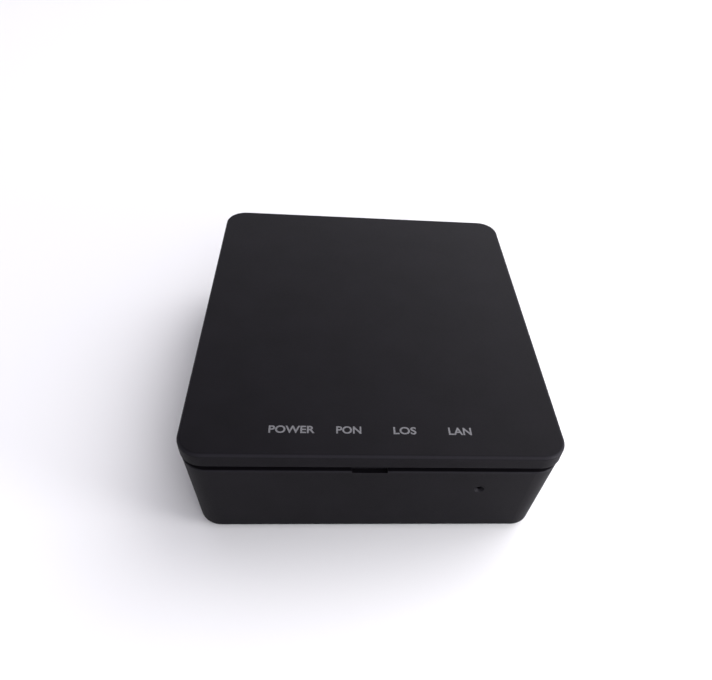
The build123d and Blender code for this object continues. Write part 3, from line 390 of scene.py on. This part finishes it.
OTHER_FINISHES = (
    casing_plastic, printed_ink, label_film, board_laminate, ceramic_chip, led_package, light_pipe_clear,
    zirconia,
)
MATERIALS = {make.__name__: make() for make in OTHER_FINISHES}
for name, (colour, roughness, more) in MOULDED.items():
    MATERIALS[name] = moulded(name, colour, roughness, **more).material
for name, (colour, roughness, more) in METALS.items():
    MATERIALS[name] = metal(name, colour, roughness, **more)


def dress_frame():
    """Gives every CAD node the finish of its slot in the record."""
    for part in frame["record"]["subparts"]:
        slots = frame["nodes"][part["node"]].data.materials
        finish = MATERIALS[part["material_slot"]]
        if len(slots) == 0:
            slots.append(finish)
        for index in range(len(slots)):
            slots[index] = finish


# ---- mesh helpers ---------------------------------------------------------------------------------------
def add_piece(name, mesh, body, slot):
    """Links a mesh as a piece of the object, riding on a body and finished from a slot."""
    piece = bpy.data.objects.new(name, mesh)
    bpy.context.scene.collection.objects.link(piece)
    mesh.materials.clear()
    mesh.materials.append(MATERIALS[slot])
    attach(piece, body)
    return piece


def word_mesh(name, text, height, width=None):
    """A word as a thin solid of ink, centred on its origin and facing +Z, with capitals this high."""
    curve = bpy.data.curves.new(name, "FONT")
    curve.body = text
    curve.align_x, curve.align_y = "CENTER", "CENTER"
    curve.extrude = INK_THICK * MM / 2
    curve.offset = BOLD
    curve.size = 1.0
    scratch = bpy.data.objects.new(name, curve)
    bpy.context.scene.collection.objects.link(scratch)
    bpy.context.view_layer.update()
    shaped = scratch.evaluated_get(bpy.context.evaluated_depsgraph_get())
    mesh = bpy.data.meshes.new_from_object(shaped)
    bpy.data.objects.remove(scratch)
    bpy.data.curves.remove(curve)
    low, high = corners([v.co for v in mesh.vertices])
    tall = height * MM / (high.y - low.y)
    wide = width * MM / (high.x - low.x) if width else tall
    centre = (low + high) / 2
    for v in mesh.vertices:
        v.co = Vector(((v.co.x - centre.x) * wide, (v.co.y - centre.y) * tall, v.co.z))
    return mesh


def top_words():
    """The four indicator names along the front edge of the top cover."""
    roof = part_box("top_cover")[1].z
    for n, (text, width) in enumerate(zip(TOP_WORDS, TOP_WORD_WIDTHS)):
        name = f"label_{text.lower()}"
        mesh = word_mesh(name, text, TOP_WORD_HEIGHT, width)
        place = mm(TOP_WORD_FIRST_X + n * TOP_WORD_PITCH, TOP_WORD_Y, INK_THICK / 2)
        mesh.transform(Matrix.Translation(place + Vector((0, 0, roof))))
        add_piece(name, mesh, HOUSING, "printed_ink")


def islands(node):
    """The (low, high) corners of every separate solid in a CAD node, in metres."""
    b = bmesh.new()
    b.from_mesh(frame["nodes"][node].data)
    bmesh.ops.remove_doubles(b, verts=b.verts, dist=1e-7)
    matrix = frame["nodes"][node].matrix_world
    seen, boxes = set(), []
    for start in b.verts:
        if start in seen:
            continue
        seen.add(start)
        pending, points = [start], []
        while pending:
            v = pending.pop()
            points.append(matrix @ v.co)
            for edge in v.link_edges:
                other = edge.other_vert(v)
                if other not in seen:
                    seen.add(other)
                    pending.append(other)
        boxes.append(corners(points))
    b.free()
    return boxes


def boxes_mesh(name, boxes):
    """One mesh of boxes, each given by its low and high corner in metres."""
    b = bmesh.new()
    for low, high in boxes:
        size = high - low
        matrix = Matrix.Translation((low + high) / 2) @ Matrix.Diagonal((*size, 1.0))
        bmesh.ops.create_cube(b, size=1.0, matrix=matrix)
    mesh = bpy.data.meshes.new(name)
    b.to_mesh(mesh)
    b.free()
    return mesh


def outline(low, high, line, z):
    """The four thin bars of a printed rectangle, between two corners and through the span z."""
    line = line * MM
    bars = []
    for y in (low.y, high.y - line):
        bars.append((Vector((low.x, y, z[0])), Vector((high.x, y + line, z[1]))))
    for x in (low.x, high.x - line):
        bars.append((Vector((x, low.y + line, z[0])), Vector((x + line, high.y - line, z[1]))))
    return bars


def rear_words():
    """A generic word under each socket and under the power key."""
    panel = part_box("optical_receptacle")[1].y + NOSE_SUNK * MM
    turn = Matrix(((-1, 0, 0), (0, 0, 1), (0, 1, 0))).to_4x4()
    for node, text in REAR_WORDS.items():
        name = "rear_" + node
        mesh = word_mesh(name, text, REAR_WORD_HEIGHT)
        place = Vector((middle(node).x, panel + INK_THICK * MM / 2, REAR_WORD_Z * MM))
        mesh.transform(Matrix.Translation(place) @ turn)
        add_piece(name, mesh, HOUSING, "printed_ink")


def label_frame():
    """A printed frame with empty rows on the underside's label."""
    low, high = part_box("rating_label")
    z = (low.z - INK_THICK * MM, low.z + INK_THICK * MM)
    margin = LABEL_MARGIN * MM
    low = low + Vector((margin, margin, 0))
    high = high - Vector((margin, margin, 0))
    bars = outline(low, high, LABEL_LINE, z)
    line = LABEL_LINE * MM
    for n in range(1, LABEL_ROWS):
        y = low.y + (high.y - low.y) * n / LABEL_ROWS
        bars.append((Vector((low.x + line, y, z[0])), Vector((high.x - line, y + line, z[1]))))
    add_piece("label_frame", boxes_mesh("label_frame", bars), HOUSING, "button_plastic")


def board_legend():
    """Printed outlines round the larger parts on the board."""
    nodes = (
        "heat_sink", "memory_chip", "flash_chip", "lan_transformer", "step_down_converter", "rf_shield_can",
    )
    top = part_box("main_board")[1].z
    z = (top - INK_THICK * MM, top + INK_THICK * MM)
    gap = Vector((SILK_GAP, SILK_GAP, 0)) * MM
    boxes = [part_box(node) for node in nodes] + islands("power_inductors") + islands("capacitor_bases")
    bars = [bar for low, high in boxes for bar in outline(low - gap, high + gap, SILK_LINE, z)]
    add_piece("board_legend", boxes_mesh("board_legend", bars), HOUSING, "printed_ink")


def passive_ends():
    """Tinned ends on the small resistors and capacitors."""
    skin = mm(CAP_SKIN, CAP_SKIN, CAP_SKIN)
    base = mm(CAP_SKIN, CAP_SKIN, 0)
    caps = []
    for low, high in islands("chip_passives"):
        for y0, y1 in ((low.y, low.y + CAP_END * MM), (high.y - CAP_END * MM, high.y)):
            caps.append((Vector((low.x, y0, low.z)) - base, Vector((high.x, y1, high.z)) + skin))
    add_piece("passive_ends", boxes_mesh("passive_ends", caps), HOUSING, "tinned_lead")


def solder_joints():
    """Solder cones under the board, one for each lead that goes through it."""
    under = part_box("main_board")[0].z
    b = bmesh.new()
    for node in ("service_header_pins", "transceiver_leads"):
        for low, _ in islands(node):
            place = Vector((low.x + LEAD_IN * MM, low.y + LEAD_IN * MM, under - SOLDER_H * MM / 2))
            bmesh.ops.create_cone(
                b, segments=20, radius1=SOLDER_TIP * SOLDER_R * MM, radius2=SOLDER_R * MM,
                depth=SOLDER_H * MM, matrix=Matrix.Translation(place),
            )
    mesh = bpy.data.meshes.new("solder_joints")
    b.to_mesh(mesh)
    b.free()
    for face in mesh.polygons:
        face.use_smooth = True
    add_piece("solder_joints", mesh, HOUSING, "tinned_lead")


def spring_leg():
    """The fixed end of the shutter's torsion spring, bent down against the rear panel."""
    low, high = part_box("shutter_spring")
    start = Vector((high.x - SPRING_LEG_R * MM, low.y + SPRING_LEG_R * MM, middle("shutter_spring").z))
    points = [start] + [start - mm(0, SPRING_LEG_BEND, SPRING_LEG_DROP * share) for share in (0.5, 1.0)]
    curve = bpy.data.curves.new("shutter_spring_leg", "CURVE")
    curve.dimensions = "3D"
    curve.bevel_depth = SPRING_LEG_R * MM
    curve.bevel_resolution = 4
    curve.use_fill_caps = True
    line = curve.splines.new("POLY")
    line.points.add(len(points) - 1)
    for point, place in zip(line.points, points):
        point.co = (*place, 1.0)
    add_piece("shutter_spring_leg", curve, HOUSING, "spring_wire")


# ---- camera, light and floor ----------------------------------------------------------------------------
def add_camera():
    """The camera at the photograph's place, turned and rolled, with the picture shifted off its axis."""
    yaw, pitch, roll = (math.radians(a) for a in (CAMERA_YAW, CAMERA_PITCH, CAMERA_ROLL))
    ahead = Vector((math.sin(yaw) * math.cos(pitch), math.cos(yaw) * math.cos(pitch), -math.sin(pitch)))
    level = Vector((math.cos(yaw), -math.sin(yaw), 0))
    upright = level.cross(ahead)
    right = level * math.cos(roll) + upright * math.sin(roll)
    up = upright * math.cos(roll) - level * math.sin(roll)
    data = bpy.data.cameras.new("camera")
    data.sensor_width = CAMERA_SENSOR
    data.lens = CAMERA_LENS
    data.shift_x, data.shift_y = CAMERA_SHIFT
    data.clip_start = CAMERA_NEAR * MM
    camera = bpy.data.objects.new("camera", data)
    axes = Matrix((right, up, -ahead)).transposed().to_4x4()
    camera.matrix_world = Matrix.Translation(mm(*CAMERA_PLACE)) @ axes
    bpy.context.scene.collection.objects.link(camera)
    bpy.context.scene.camera = camera


def add_lamp(name, place, size, power, colour):
    """A soft square lamp at a place in metres, aimed at the object."""
    data = bpy.data.lights.new(name, "AREA")
    data.size = size
    data.energy = power
    data.color = colour
    lamp = bpy.data.objects.new(name, data)
    lamp.location = place
    aim = Vector(LAMP_TARGET) - Vector(place)
    lamp.rotation_euler = aim.to_track_quat("-Z", "Y").to_euler()
    bpy.context.scene.collection.objects.link(lamp)


def add_floor():
    """A plain, near white floor."""
    mesh = bpy.data.meshes.new("floor")
    b = bmesh.new()
    bmesh.ops.create_grid(b, x_segments=8, y_segments=8, size=FLOOR_HALF)
    b.to_mesh(mesh)
    b.free()
    floor = bpy.data.objects.new("floor", mesh)
    bpy.context.scene.collection.objects.link(floor)
    f = Finish("floor_paint", FLOOR_COLOURS[0], 0.8, Specular_IOR_Level=0.1)
    f.set("Base Color", f.blend(f.noise(FLOOR_PATCH), *FLOOR_COLOURS))
    mesh.materials.append(f.material)


def add_world():
    """White studio walls: an even glow, brighter to the right, behind the object and near the floor."""
    world = bpy.data.worlds.new("studio")
    world.use_nodes = True
    tree = world.node_tree
    sky = tree.nodes["Background"]
    direction = tree.nodes.new("ShaderNodeTexCoord").outputs["Generated"]
    axes = tree.nodes.new("ShaderNodeSeparateXYZ")
    tree.links.new(direction, axes.inputs[0])
    total = None
    for axis, low, high, strength in WORLD_RAMPS:
        ramp = tree.nodes.new("ShaderNodeMapRange")
        tree.links.new(axes.outputs[axis], ramp.inputs["Value"])
        for socket, value in (("From Min", low), ("From Max", high), ("To Min", 0.0), ("To Max", strength)):
            ramp.inputs[socket].default_value = value
        added = tree.nodes.new("ShaderNodeMath")
        added.operation = "ADD"
        tree.links.new(ramp.outputs["Result"], added.inputs[0])
        if total is None:
            added.inputs[1].default_value = WORLD_GLOW
        else:
            tree.links.new(total, added.inputs[1])
        total = added.outputs["Value"]
    tree.links.new(total, sky.inputs["Strength"])
    sky.inputs["Color"].default_value = (*WORLD_COLOUR, 1.0)
    bpy.context.scene.world = world
    bpy.context.scene.view_settings.view_transform = "Standard"


def add_light():
    """The lamps and the studio walls."""
    for lamp in LAMPS:
        add_lamp(*lamp)
    add_world()


dress_frame()
top_words()
rear_words()
label_frame()
board_legend()
passive_ends()
solder_joints()
spring_leg()
add_camera()
add_light()
add_floor()
